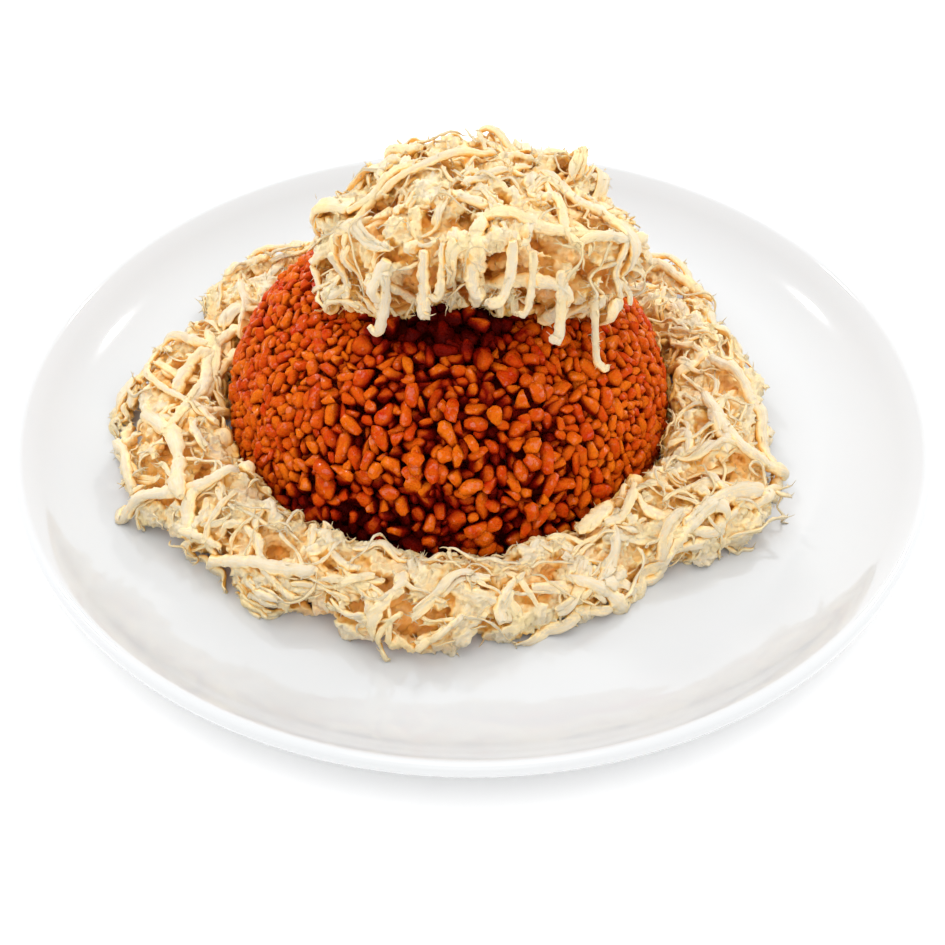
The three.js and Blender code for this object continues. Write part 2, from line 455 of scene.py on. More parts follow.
def wet_core(wire, sockets):
    """Red sauce that fills the bulgur, painted darker as shade where the grains lie loose, and darkest as
    painted shadow under the meat at the crown and where sauce ran low in front.
    """
    place = placed_at(wire)
    sauce = place.blotches(330.0, 3.0)
    firm = mixed(wire, sauce, (0.16, 0.006, 0.0003), (0.46, 0.050, 0.001))
    # partly painted shade: the sauce where grains lie loose in front is far darker, as the shade deep between
    # them
    slack = mixed(wire, sauce, (0.030, 0.001, 0.0004), (0.16, 0.008, 0.0008))
    sauce_by_looseness = mixed(wire, noted(wire, "loose"), firm, slack)
    # painted shadow under the meat at the crown, and dark sauce low in front that is painted as shade too
    link(mixed(wire, noted(wire, "soaked"), sauce_by_looseness, (0.06, 0.002, 0.0003)), sockets["Base Color"])
    crumbs = wire.add("ShaderNodeTexVoronoi", {"Vector": place, "Scale": 300.0}, feature="SMOOTH_F1")
    dent(1.0 - crumbs, 0.9, 0.0016, sockets)
    link(0.20 + 0.25 * sauce, sockets["Roughness"])


core_finish = finish("oily_bulgur_core", {"IOR": 1.45, "Specular IOR Level": 0.1}, wet_core)
core = piece_of("bulgur_core", *bulgur_core(), core_finish)
note(core.data, "loose", looseness(corners_of(core)))
note(core.data, "soaked", soaked(corners_of(core)))
serve(core, "bulgur_mound")

# --- Bulgur, grains: broken and whole kernels of cooked wheat, plump and shining with oil. They are
# settled against each other on the dome, loose in front where it slumped, sunk in sauce elsewhere.
GRAIN_LENGTH = 0.0048
GRAIN_WIDTH = 0.0034
GRAIN_FORMS = 16
KERNEL_ROUND = 8  # corners round a grain
KERNEL_RINGS = 7  # stretches along it
WHOLE_SHARE = 0.09  # share of whole kernels among the loose grains
GRAIN_PACKING = 0.46  # how closely grains settle, as a share of their widths between them


def unit(vectors):
    """Vectors made one long."""
    return vectors / np.maximum(np.linalg.norm(vectors, axis=-1, keepdims=True), 1e-9)


def kernel(form):
    """One grain, a unit long and wide along X: whole with its crease, or cracked into a blunt piece."""
    own = np.random.default_rng(100 + form)
    whole = form % 4 == 0
    crease = own.uniform(0.2, 0.42) if whole or form % 3 == 0 else own.uniform(0, 0.06)
    blunt = own.uniform(0.55, 0.85)
    bow = own.uniform(-0.3, 0.3)
    knobs = own.uniform(0, 2 * math.pi, 2)
    cracks = [own.normal(0, 1, 3) for _ in range(0 if whole else 1 + form % 3)]
    cracks = [(crack / np.linalg.norm(crack), own.uniform(0.14, 0.34)) for crack in cracks]

    def at(u, a):
        """The corner at u along the grain, 0 to pi, and at the angle a round it."""
        off = math.remainder(a - math.pi / 2, 2 * math.pi)
        girth = 0.5 * math.sin(u) ** blunt * (1 - crease * math.exp(-((off / 0.45) ** 2)))
        girth *= 1 + 0.14 * math.sin(2 * a + knobs[0] + 2 * u) + 0.13 * math.sin(3 * a + knobs[1] - 3 * u)
        x = -0.5 * math.cos(u)
        spot = np.array((x, girth * math.cos(a), girth * math.sin(a) - bow * x * x)) * own.uniform(0.95, 1.04)
        for way, reach in cracks:
            spot = spot - way * max(0.0, np.dot(spot, way) - reach) * 0.9
        return tuple(spot)

    corners = [at(0, 0)]
    for i in range(1, KERNEL_RINGS):
        u = math.pi * i / KERNEL_RINGS
        corners += [at(u, 2 * math.pi * k / KERNEL_ROUND) for k in range(KERNEL_ROUND)]
    corners.append(at(math.pi, 0))
    return corners, ringed_faces(KERNEL_RINGS - 1, KERNEL_ROUND)


def settled(count, sink, seed, rounds=60):
    """Grains shoved about on the dome until they lie side by side: where, which way and how large."""
    own = np.random.default_rng(seed)
    turn = own.uniform(0, 2 * math.pi, 4 * count)
    lift = np.arcsin(own.uniform(0.02, 0.97, 4 * count))
    out = np.stack((np.cos(turn) * np.cos(lift), np.sin(turn) * np.cos(lift), np.sin(lift)), -1)
    place = dome_face(DOME_FOOT + out * 0.05, sink)
    area = ((place - DOME_FOOT) ** 2).sum(1) / (out * dome_out(place)).sum(1)  # skin that each one stands for
    place = place[own.choice(4 * count, count, False, area / area.sum())]
    slack = looseness(place)
    size = np.clip(own.lognormal(0, 0.20, count), 0.66, 1.7) * (0.96 + 0.18 * slack)
    whole = (own.uniform(0, 1, count) < WHOLE_SHARE * slack) & (size < 1.3)  # unbroken kernels, in front
    size[whole] = own.uniform(1.25, 1.5, whole.sum())
    shape = own.uniform(0.80, 1.25, count)
    shape[whole] = own.uniform(1.05, 1.3, whole.sum())
    length = GRAIN_LENGTH * size * shape
    width = np.minimum(GRAIN_WIDTH * size / np.sqrt(shape), length)
    lie = np.cross(dome_out(place), own.normal(size=(count, 3)))
    lie = unit(lie)
    arm = (length - width) / 2
    ball = np.concatenate((width, width)) * GRAIN_PACKING
    for step in range(rounds):
        ends = np.concatenate((place + lie * arm[:, None], place - lie * arm[:, None]))
        if step % 8 == 0:
            square = (ends**2).sum(1)
            gap = square[:, None] + square[None] - 2 * ends @ ends.T
            first, second = np.nonzero(np.triu(gap < 0.0095**2, 1))
            other = (first % count) != (second % count)
            first, second = first[other], second[other]
        apart = ends[first] - ends[second]
        far = np.maximum(np.linalg.norm(apart, axis=1), 1e-6)
        push = np.maximum(ball[first] + ball[second] - far, 0) * 0.35
        shove = apart / far[:, None] * push[:, None]
        moved = np.zeros_like(ends)
        np.add.at(moved, first, shove)
        np.add.at(moved, second, -shove)
        here, there = moved[:count], moved[count:]
        place = place + (here + there) * 0.5
        place[:, 2] = np.maximum(place[:, 2], WELL_HEIGHT + width * 0.45)
        place = dome_face(place, sink)
        lie = lie + (here - there) * (0.5 / np.maximum(arm, 0.0006))[:, None]
        facing = dome_out(place)
        lie = unit(lie - facing * (lie * facing).sum(1)[:, None])
    return place, lie, length, width, own


def scattered(name, place, **carried):
    """A cloud of points that carries how each grain lies."""
    cloud = bpy.data.meshes.new(name)
    cloud.from_pydata([tuple(p) for p in place], [], [])
    for key, values in carried.items():
        note(cloud, key, values)
    return put(name, cloud)


def tree_for(name, **inputs):
    """An empty geometry tree with named inputs, Float or Int: a Wire to work from, and its inputs' Wire."""
    tree = bpy.data.node_groups.new(name, "GeometryNodeTree")
    tree.interface.new_socket("Geometry", in_out="INPUT", socket_type="NodeSocketGeometry")
    for key, kind in inputs.items():
        tree.interface.new_socket(key, in_out="INPUT", socket_type=f"NodeSocket{kind}")
    tree.interface.new_socket("Geometry", in_out="OUTPUT", socket_type="NodeSocketGeometry")
    return Wire(tree), Wire(tree).add("NodeGroupInput")


def carried_on(wire, name, kind="FLOAT_VECTOR"):
    """What note() kept on a mesh's corners, in a geometry tree."""
    return wire.add("GeometryNodeInputNamedAttribute", {"Name": name}, data_type=kind)


def dressed(wire, skin, material):
    """The tree, ended by what makes a skin real and smooth and gives it its material."""
    real = wire.add("GeometryNodeRealizeInstances", {0: skin})
    smooth = wire.add("GeometryNodeSetShadeSmooth", {0: real})
    coloured = wire.add("GeometryNodeSetMaterial", {0: smooth, 2: material})
    link(coloured, wire.tree.nodes.new("NodeGroupOutput").inputs[0])
    return wire.tree


def grain_tree(forms, material):
    """Geometry nodes that put a grain of a random form on each point of a cloud."""
    wire, given = tree_for("grains_on_points", Seed="Int")
    turn = wire.add("FunctionNodeAxesToRotation", {0: carried_on(wire, "lie"), 1: carried_on(wire, "up")},
                    primary_axis="X", secondary_axis="Z")
    pick = wire.add("FunctionNodeRandomValue", {4: 0, 5: GRAIN_FORMS - 1, "Seed": given.out("Seed")}, 2,
                    data_type="INT")
    bag = wire.add("GeometryNodeCollectionInfo", {0: forms, 1: True, 2: True})
    on_points = wire.add("GeometryNodeInstanceOnPoints", {
        0: given.out("Geometry"), 2: bag, 3: True, 4: pick, 5: turn, 6: carried_on(wire, "size")
    })
    return dressed(wire, on_points, material)


def made_real(source, tree, values, material):
    """The mesh that a tree makes of a source object, as a plain piece; the source is thrown away."""
    live = source.modifiers.new(tree.name, "NODES")
    live.node_group = tree
    for item in tree.interface.items_tree:
        if item.in_out == "INPUT" and item.name in values:
            live[item.identifier] = values[item.name]
    grown = source.evaluated_get(bpy.context.evaluated_depsgraph_get())
    mesh = bpy.data.meshes.new_from_object(grown)
    name = source.name
    source.modifiers.remove(live)
    bpy.data.objects.remove(source)
    mesh.materials.clear()
    mesh.materials.append(material)
    mesh.name = name
    return put(name, mesh)


def grain_look(wire, sockets):
    """Orange grain, red with sauce where it dips between the others; painted shade darkens it there, on its
    sides that turn from the sky and under the meat at the crown.
    """
    place = placed_at(wire)
    depth = noted(wire, "deep")
    patch = place.blotches(420.0, 2.0)
    ripe = (patch * 0.8 + noted(wire, "tint") * 0.45).ranged(0.20, 1.00)
    warm = mixed(wire, ripe, (0.43, 0.010, 0.0003), (0.64, 0.140, 0.003))
    # partly painted shade: red deepens where a grain dips, turns aside or lies under the meat, as well as
    # with sauce
    sauce_and_shade = (depth + 0.5 * (patch - 0.5)).ranged(0.20, 0.62)
    red = mixed(wire, sauce_and_shade, warm, (0.22, 0.005, 0.0003))
    # painted shade: near black deep down between the grains
    painted_deep_shade = (depth + 0.3 * (patch - 0.5)).ranged(0.55, 0.95)
    link(mixed(wire, painted_deep_shade, red, (0.06, 0.001, 0.0002)), sockets["Base Color"])
    dent(place.blotches(1000.0, 3.0), 0.9, 0.0009, sockets)
    link(0.2 + 0.3 * patch, sockets["Roughness"])
    oil = place.blotches(640.0, 2.0) - 0.3 * depth
    link(oil.ranged(0.54, 0.60), sockets["Coat Weight"])


GRAIN_SHINE = {
    "IOR": 1.42,
    "Coat IOR": 1.5,
    "Coat Roughness": 0.2,
    "Subsurface Weight": 0.2,
    "Subsurface Radius": (1.0, 0.2, 0.05),
    "Subsurface Scale": 0.0008,
    "Specular IOR Level": 0.04,
}
GRAIN_DEEP_AT = 0.0052  # how far below the dome's skin a grain is all red, with sauce and painted shade
forms = bpy.data.collections.new("grain_forms")
grain_finish = finish("oily_grain", GRAIN_SHINE, grain_look)
for form in range(GRAIN_FORMS):
    one = bpy.data.objects.new(f"grain_form_{form}", bpy.data.meshes.new(f"grain_form_{form}"))
    corners, faces = kernel(form)
    one.data.from_pydata(corners, [], faces)
    forms.objects.link(one)


def grain_layer(name, count, sink, seed, loose, missing, kept=(0.0, 1.0)):
    """One layer of grains where the dome is neither too firm nor too loose; some are missing in front.
    It goes through the grains' forms, so these stay in their collection until the last layer is laid."""
    place, lie, length, width, own = settled(count, sink, seed)
    facing = dome_out(place)
    slack = looseness(place)
    place = place + facing * (own.normal(0, 0.0004 + loose * 0.0011 * slack))[:, None]
    lie = lie + facing * own.normal(0, 0.10 + 0.40 * slack)[:, None]
    side = np.cross(facing, lie)
    roll = own.uniform(-math.pi, math.pi, count)
    up = facing * np.cos(roll)[:, None] + side * np.sin(roll)[:, None]
    size = np.stack((length, width, width * own.uniform(0.85, 1.0, count)), -1)
    here = (own.uniform(0, 1, count) > missing * slack) & (slack >= kept[0]) & (slack <= kept[1])
    tint = own.uniform(0, 1, count)
    cloud = scattered(name, place[here], lie=lie[here], up=up[here], size=size[here], tint=tint[here])
    made = made_real(cloud, grain_tree(forms, grain_finish), {"Seed": seed}, grain_finish)
    corners = corners_of(made)
    skin = dome_face(corners, 0)
    below = np.linalg.norm(skin - DOME_FOOT, axis=1) - np.linalg.norm(corners - DOME_FOOT, axis=1)
    # painted shade: a grain's sides that turn from the sky, and painted shadow at the crown under the meat,
    # count as deep
    skyward = unit(dome_out(corners) + (0, 0, 0.5))
    aside = 1 - np.clip((outward(made) * skyward).sum(1), 0, 1)
    slack = looseness(corners)
    deep = below / GRAIN_DEEP_AT * (0.25 + 0.75 * slack) + (0.48 + 0.17 * slack) * aside
    deep = deep + 0.9 * soaked(corners)
    note(made.data, "deep", np.clip(deep, 0, 1))
    serve(made, "bulgur_mound")


grain_layer("bulgur_grains", 1980, 0.0019, 11, 1.0, 0.07)
grain_layer("bulgur_grains_under", 1400, 0.0052, 12, 0.6, 0.1, (0.12, 1.0))
grain_layer("bulgur_grains_pressed", 1500, 0.0036, 13, 0.0, 0.0, (0.0, 0.4))
for one in list(forms.objects):
    bpy.data.objects.remove(one)
bpy.data.collections.remove(forms)

# --- Chicken, how it pulls apart: poached breast pulled by hand comes away in thick flesh, flat strips,
# round ropes and single strings, with the meat's grain along them and short loose fibres where it tore.
STEP = 0.0012  # length of one stretch of a shred's path
DEEP_AT = 0.0070  # how far below a heap's outline the meat is all orange, as painted shade and juice stain
FLESH_GRAIN = 0.0009  # the finest form that the thick flesh has
FUZZ_LENGTH = 0.0016  # of a loose fibre on a shred's side
FUZZ_GAP = 0.0018  # length of shred for each loose fibre at raggedness 1
DRAWN = (0.5, 2.0)  # how far a torn end thins out, in the rope's widths


def smooth_path(path, rounds):
    """A path with its corners cut, ends kept."""
    for _ in range(rounds):
        near = path[:-1] * 0.75 + path[1:] * 0.25
        far = path[:-1] * 0.25 + path[1:] * 0.75
        path = np.concatenate((path[:1], np.stack((near, far), 1).reshape(-1, 3)[1:-1], path[-1:]))
    return path


def resampled(path):
    """The same path with evenly spaced points."""
    run = np.concatenate(([0], np.cumsum(np.linalg.norm(np.diff(path, axis=0), axis=1))))
    marks = np.linspace(0, run[-1], max(5, round(run[-1] / STEP) + 1))
    return np.stack([np.interp(marks, run, path[:, k]) for k in range(3)], 1)


def wavy(share, knots, own):
    """A smooth random line over shares of a length, about 1 high."""
    levels = own.normal(0, 1, knots + 1)
    at = np.minimum(share * (knots - 1), knots - 1.0001)
    first = at.astype(int)
    part = at - first
    part = part * part * (3 - 2 * part)
    return levels[first] * (1 - part) + levels[first + 1] * part


def framed(spine, out, twist, own):
    """The ways along a path, to its side and over it; its flat side looks out at the start."""
    along = unit(np.gradient(spine, axis=0))
    side = np.empty_like(spine)
    side[0] = unit(np.cross(out, along[0]) + 1e-6)
    for i in range(1, len(spine)):
        side[i] = unit(side[i - 1] - along[i] * np.dot(side[i - 1], along[i]))
    over = np.cross(along, side)
    turn = twist * wavy(np.linspace(0, 1, len(spine)), 4, own)[:, None]
    return along, side * np.cos(turn) + over * np.sin(turn), over * np.cos(turn) - side * np.sin(turn)


class Shreds:
    """Paths of many shreds, and what each of their points carries: the way that is across or over the
    shred there, how thick it is, its tint, and a number that makes its noise its own."""

    CARRIED = ("over", "thick", "tint", "shift")

    def __init__(self):
        self.paths = []
        self.carried = {name: [] for name in self.CARRIED}

    def add(self, points, **carried):
        """One more path, with a value for all of its points or one for each."""
        self.paths.append(points)
        for name in self.CARRIED:
            shape = (len(points), 3) if name == "over" else len(points)
            self.carried[name].append(np.broadcast_to(carried[name], shape))


def stray(strays, start, heading, length, thick, own, tint):
    """One loose fibre that stands off a shred, bends and ends in a point."""
    points = [start]
    bend = own.normal(0, 0.5, 3)
    for _ in range(3):
        heading = unit(heading + bend * 0.6)
        points.append(points[-1] + heading * length / 3)
    body = thick * np.array((1.0, 0.85, 0.6, 0.25))
    strays.add(np.array(points), over=(0, 0, 1), thick=body, tint=tint, shift=own.uniform(0, 100))


def fuzz(strays, spine, frame, body, number, own, tint):
    """Short loose fibres along the sides of a shred."""
    along, side, over = frame
    for _ in range(own.poisson(number)):
        i = own.integers(0, len(spine))
        round_it = own.uniform(0, 2 * math.pi)
        off = side[i] * math.cos(round_it) + over[i] * math.sin(round_it)
        way = unit(off + along[i] * own.normal(0, 1.2))
        start = spine[i] + off * body[i] * 0.8
        length = FUZZ_LENGTH * own.uniform(0.3, 1.3)
        stray(strays, start, way, length, own.uniform(0.00014, 0.00028), own, tint)


def rope(shreds, strays, spine, frame, width, own, tint, form):
    """One skin of meat along a path, swelling and thinning, torn off bluntly or drawn out at its ends."""
    along, side, _ = frame
    share = np.linspace(0, 1, len(spine))
    length = STEP * len(spine)
    swell = np.clip(1 + form["swelling"] * wavy(share, max(3, round(length / 0.003)), own), 0.6, 1.5)
    for away in (share, 1 - share):
        blunt = own.uniform(*form["blunt"])
        drawn = width * own.uniform(*form.get("drawn", DRAWN)) + 0.0005
        swell = swell * (blunt + (1 - blunt) * np.clip(away * length / drawn, 0, 1) ** 0.7)
    body = np.maximum(width / 2 * swell, 0.00014)
    shreds.add(spine, over=side, thick=body, tint=tint, shift=own.uniform(0, 100))
    fuzz(strays, spine, frame, body, form["ragged"] * length / FUZZ_GAP, own, tint)
    for end, inward in ((0, 1), (-1, -1)):  # fibres drawn out where it was torn
        for _ in range(own.poisson(1.6 * form["ragged"])):
            start = spine[end] + side[end] * own.uniform(-0.8, 0.8) * body[end]
            start = start + along[end] * inward * 0.0008
            way = unit(-along[end] * inward + own.normal(0, 0.5, 3))
            stray(strays, start, way, own.uniform(0.001, 0.003), own.uniform(0.00016, 0.00034), own, tint)


def tear(shreds, strays, path, width, ropes, own, out, form):
    """A shred that is several ropes side by side, grown together for most of the way."""
    spine = resampled(path)
    along, side, over = framed(spine, out, form["twist"], own)
    girth = width / (0.45 + 0.55 * ropes)
    tint = own.uniform(0, 1)
    fans = own.uniform(0, form["splay"], 2)
    for j in range(ropes):
        count = len(spine)
        first = own.integers(0, 1 + count // 4)
        last = count - own.integers(0, 1 + count // 4)
        if last - first < 5 or ropes == 1:
            first, last = 0, count
        share = np.linspace(0, 1, count)[first:last]
        part = slice(first, last)
        fan = 1 + fans[0] * np.clip(1 - share / 0.35, 0, 1) ** 1.5
        fan = fan + fans[1] * np.clip((share - 0.65) / 0.35, 0, 1) ** 1.5
        sway = girth * min(0.2, 0.1 * (ropes - 1))
        across = ((j + 0.5) / ropes * 2 - 1) * (width - girth * 0.6) / 2 * fan + sway * wavy(share, 5, own)
        lift = sway * (1.2 * wavy(share, 4, own) + own.uniform(-1, 1)) * fan
        points = spine[part] + side[part] * across[:, None] + over[part] * lift[:, None]
        frame = (along[part], side[part], over[part])
        own_tint = np.clip(tint + own.uniform(-0.15, 0.15), 0, 1)
        rope(shreds, strays, points, frame, girth * own.uniform(0.75, 1.2), own, own_tint, form)


def spot_on_shred(round_it, run, shift, round_scale, long_scale):
    """A place on a shred's skin, by how far it is round the shred and along it, shifted for each shred."""
    return run.add("ShaderNodeCombineXYZ", {
        "X": round_it.out("X") * round_scale + shift,
        "Y": round_it.out("Y") * round_scale + shift * 0.37,
        "Z": run * long_scale + shift,
    })


def shred_tree(material):
    """Geometry nodes that give every path a skin of meat, and note where on the shred a point is."""
    wire, given = tree_for("shreds_along_paths", Flatness="Float", Lumps="Float", Grooves="Float",
                           Crumbs="Float", Step="Float", Sides="Int")

    def stored(shape, name, kind, value):
        """The shape, carrying a value on its points."""
        sockets = {0: shape, 2: name, 3: value}
        return wire.add("GeometryNodeStoreNamedAttribute", sockets, data_type=kind, domain="POINT")

    paths = wire.add("GeometryNodeMeshToCurve", {0: given.out("Geometry")})
    curved = wire.add("GeometryNodeCurveSplineType", {0: paths}, spline_type="CATMULL_ROM")
    stepped = wire.add("GeometryNodeResampleCurve", {0: curved, "Length": given.out("Step")}, mode="LENGTH")
    facing = wire.add("GeometryNodeSetCurveNormal", {0: stepped, 2: carried_on(wire, "over")}, mode="FREE")
    marked = stored(facing, "run", "FLOAT", wire.add("GeometryNodeSplineParameter", out="Length"))
    circle = wire.add("GeometryNodeCurvePrimitiveCircle", {"Resolution": given.out("Sides"), "Radius": 1.0})
    rim = stored(circle, "rim", "FLOAT_VECTOR", wire.add("GeometryNodeInputPosition"))
    flat = wire.add("ShaderNodeCombineXYZ", {"X": 1.0, "Y": given.out("Flatness"), "Z": 1.0})
    section = wire.add("GeometryNodeTransform", {0: rim, "Scale": flat})
    thick = carried_on(wire, "thick", "FLOAT")
    skin = wire.add("GeometryNodeCurveToMesh", {0: marked, 1: section, 2: thick, 3: True})
    round_it = wire.add("ShaderNodeSeparateXYZ", {0: carried_on(wire, "rim")})
    shift = carried_on(wire, "shift", "FLOAT")
    run = carried_on(wire, "run", "FLOAT")

    def relief(round_scale, long_scale):
        """Smooth noise round and along the shred, from -0.5 to 0.5."""
        return spot_on_shred(round_it, run, shift, round_scale, long_scale).blotches(1.0, 1.0) - 0.5

    height = relief(0.7, 230.0) * given.out("Lumps") + relief(2.4, 50.0) * given.out("Grooves")
    height = height + relief(1.5, 650.0) * given.out("Crumbs")
    push = wire.add("ShaderNodeVectorMath", {0: wire.add("GeometryNodeInputNormal"), "Scale": height * thick},
                    operation="SCALE")
    return dressed(wire, wire.add("GeometryNodeSetPosition", {0: skin, 3: push}), material)


def meat_piece(name, shreds, material, **sizes):
    """The skins of all the shreds as one piece."""
    paths = bpy.data.meshes.new(name)
    counts = [len(path) for path in shreds.paths]
    starts = np.concatenate(([0], np.cumsum(counts)))
    joins = np.concatenate([np.arange(a, a + n - 1) for a, n in zip(starts, counts)])
    paths.vertices.add(starts[-1])
    paths.vertices.foreach_set("co", np.concatenate(shreds.paths).astype(np.float32).ravel())
    paths.edges.add(len(joins))
    paths.edges.foreach_set("vertices", np.stack((joins, joins + 1), 1).astype(np.int32).ravel())
    for key, values in shreds.carried.items():
        note(paths, key, np.concatenate(values))
    return made_real(put(name, paths), shred_tree(material), sizes, material)


def grown_together(name, shreds, packed, material):
    """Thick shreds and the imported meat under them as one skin, which runs from one into the next."""
    made = meat_piece(name, shreds, material, **SKINS["flesh"])
    joined = bmesh.new()
    joined.from_mesh(made.data)
    under = bpy.data.meshes.new(name)
    under.from_pydata([tuple(c) for c in packed[0]], [], packed[1])
    joined.from_mesh(under)
    joined.to_mesh(made.data)
    joined.free()
    made.modifiers.new("grown_together", "REMESH").voxel_size = FLESH_GRAIN
    made.modifiers.new("softened", "SMOOTH").iterations = 1
    grown = made.evaluated_get(bpy.context.evaluated_depsgraph_get())
    skin = bpy.data.meshes.new_from_object(grown)
    made.modifiers.clear()
    made.data = skin
    skin.shade_smooth()
    points = np.concatenate(shreds.paths)
    along = np.concatenate([unit(np.gradient(path, axis=0)) for path in shreds.paths])
    side = np.concatenate(shreds.carried["over"])
    run = np.concatenate([np.arange(len(path)) * STEP for path in shreds.paths])
    tree = KDTree(len(points))
    for i, point in enumerate(points):
        tree.insert(point, i)
    tree.balance()
    corners = corners_of(made)
    near = np.array([tree.find(corner)[1] for corner in corners])
    off = corners - points[near]
    over = np.cross(along, side)
    rim = unit(np.stack(((off * side[near]).sum(1), (off * over[near]).sum(1), 0 * run[near]), 1))
    shift = np.concatenate(shreds.carried["shift"])[near]
    spots = np.stack((rim[:, 0] * 2.2 + shift, rim[:, 1] * 2.2 + shift, run[near] * 260), 1)
    height = uneven(spots, 1.0, 5) * 0.0009 + uneven(corners, 850, 6) * 0.0010
    moved = corners + outward(made) * height[:, None]
    skin.vertices.foreach_set("co", moved.astype(np.float32).ravel())
    for key in ("tint", "shift"):
        note(skin, key, np.concatenate(shreds.carried[key])[near])
    note(skin, "run", run[near])
    note(skin, "rim", rim)
    return made


def meat_fibre(wire, sockets):
    """Cream meat with fine lengthwise grain, yellow where it is fat. Painted shade turns it golden in its
    hollows and orange where other meat shuts it in; deep in the heap it is orange, as painted shade and juice
    stain."""
    place = placed_at(wire)
    deep = noted(wire, "deep")
    round_it = wire.add("ShaderNodeSeparateXYZ", {"Vector": noted(wire, "rim", "Vector")})
    spot = spot_on_shred(round_it, noted(wire, "run"), noted(wire, "shift"), 3.5, 260.0)
    grain = spot.blotches(1.3, 4.0, Roughness=0.65)
    rough = place.blotches(1500.0, 2.0)
    cloud = place.blotches(90.0, 3.0)
    pale = mixed(wire, grain.ranged(0.38, 0.54), (0.69, 0.55, 0.335), (0.655, 0.575, 0.435))
    fatty = (cloud + 0.3 * noted(wire, "tint")).ranged(0.62, 0.86, 0.6)
    yellow = mixed(wire, fatty, pale, (0.75, 0.58, 0.26))
    # painted shade: how shut in a place is, from the grid in shut_in, turns the meat golden and then orange
    closed = noted(wire, "closed") + 0.2 * (cloud - 0.5)
    # painted shade: the hollows of the relief are painted golden
    hollow = 0.5 - 0.6 * grain - 0.4 * rough
    painted_golden_shade = mixed(wire, (closed + 0.7 * hollow).ranged(0.05, 0.34), yellow, (0.93, 0.75, 0.43))
    painted_orange_shade = mixed(wire, closed.ranged(0.36, 0.84), painted_golden_shade, (0.985, 0.54, 0.12))
    # partly painted shade, partly juice stain: orange deep below the heap's outline
    stain_and_shade = (deep + 0.7 * cloud).ranged(0.45, 1.35, 0.92)
    stained_and_shaded = mixed(wire, stain_and_shade, painted_orange_shade, (0.97, 0.40, 0.07))
    pitted = place.blotches(900.0, 2.0).ranged(0.36, 0.28, 0.3)
    link(mixed(wire, pitted, stained_and_shaded, (0.90, 0.42, 0.12)), sockets["Base Color"])
    dent(grain + 0.25 * rough, 0.7, 0.0006, sockets)
    link(0.66 - 0.3 * grain - 0.15 * deep, sockets["Roughness"])


MEAT_SHINE = {
    "IOR": 1.4,
    "Subsurface Weight": 0.4,
    "Subsurface Radius": (1.0, 0.9, 0.8),
    "Subsurface Scale": 0.0006,
    "Specular IOR Level": 0.1,
}
THIN_SHINE = {"IOR": 1.4, "Specular IOR Level": 0.08}
FLESH_SHINE = {
    **MEAT_SHINE,
    "Subsurface Weight": 0.6,
    "Subsurface Radius": (1.0, 0.9, 0.75),
    "Subsurface Scale": 0.0012,
}
meat_finish = finish("pulled_chicken", MEAT_SHINE, meat_fibre)
flesh_finish = finish("pulled_chicken_flesh", FLESH_SHINE, meat_fibre)
thin_finish = finish("pulled_chicken_fibres", THIN_SHINE, meat_fibre)
CELL = 0.001  # the grid that tells where a heap has meat
CELLS_SEEN = 9  # how far a place is shut in from
WAYS = 26  # ways that it looks out
BLOCKING = 1.1  # how much one filled cell blocks
SOLID = (1.0, 1.0, 1.0, 0.7, 0.2)  # how much the pieces of a heap block, from flesh to loose fibres
GRID_ROOM = 0.012  # room round the heap in the grid


def shut_in(pieces):
    """Notes on every corner of a heap's pieces how much meat and bulgur shut it in: 0 lies in the open."""
    spots = [corners_of(piece) for piece in pieces]
    facings = [outward(piece) for piece in pieces]
    low = np.min([corners.min(0) for corners in spots], 0) - GRID_ROOM
    high = np.max([corners.max(0) for corners in spots], 0) + GRID_ROOM
    shape = np.ceil((high - low) / CELL).astype(int)
    centres = np.stack(np.meshgrid(*(np.arange(n) for n in shape), indexing="ij"), -1) * CELL + low
    reach = np.linalg.norm(dome_face(centres, 0) - DOME_FOOT, axis=-1)
    filled = (np.linalg.norm(centres - DOME_FOOT, axis=-1) < reach).astype(np.float32)
    for corners, solid in zip(spots, SOLID):
        cells = tuple(((corners - low) / CELL).astype(int).T)
        filled[cells] = np.maximum(filled[cells], solid)
    cells, seen, most = [], [], []
    for corners, facing in zip(spots, facings):
        before = corners + facing * 0.0015
        cells.append(np.ravel_multi_index(tuple(((before - low) / CELL).astype(int).T), shape))
        seen.append(np.zeros(len(corners)))
        most.append(np.zeros(len(corners)))
    for i in range(WAYS):
        height = 1 - (2 * i + 1) / WAYS
        turn = math.pi * (3 - math.sqrt(5)) * i
        across = math.sqrt(1 - height**2)
        way = np.array((across * math.cos(turn), across * math.sin(turn), height))
        steps = [tuple(-np.rint(way * n).astype(int)) for n in range(1, CELLS_SEEN)]
        blocked = sum(np.roll(filled, step, (0, 1, 2)) for step in steps)
        through = np.exp(-BLOCKING * blocked).ravel()
        for k, facing in enumerate(facings):
            faced = np.clip(facing @ way, 0, 1)
            seen[k] += faced * through[cells[k]]
            most[k] += faced
    for piece, light, all_light, solid in zip(pieces, seen, most, SOLID):
        note(piece.data, "closed", (1 - light / all_light) * (0.5 + 0.5 * solid))


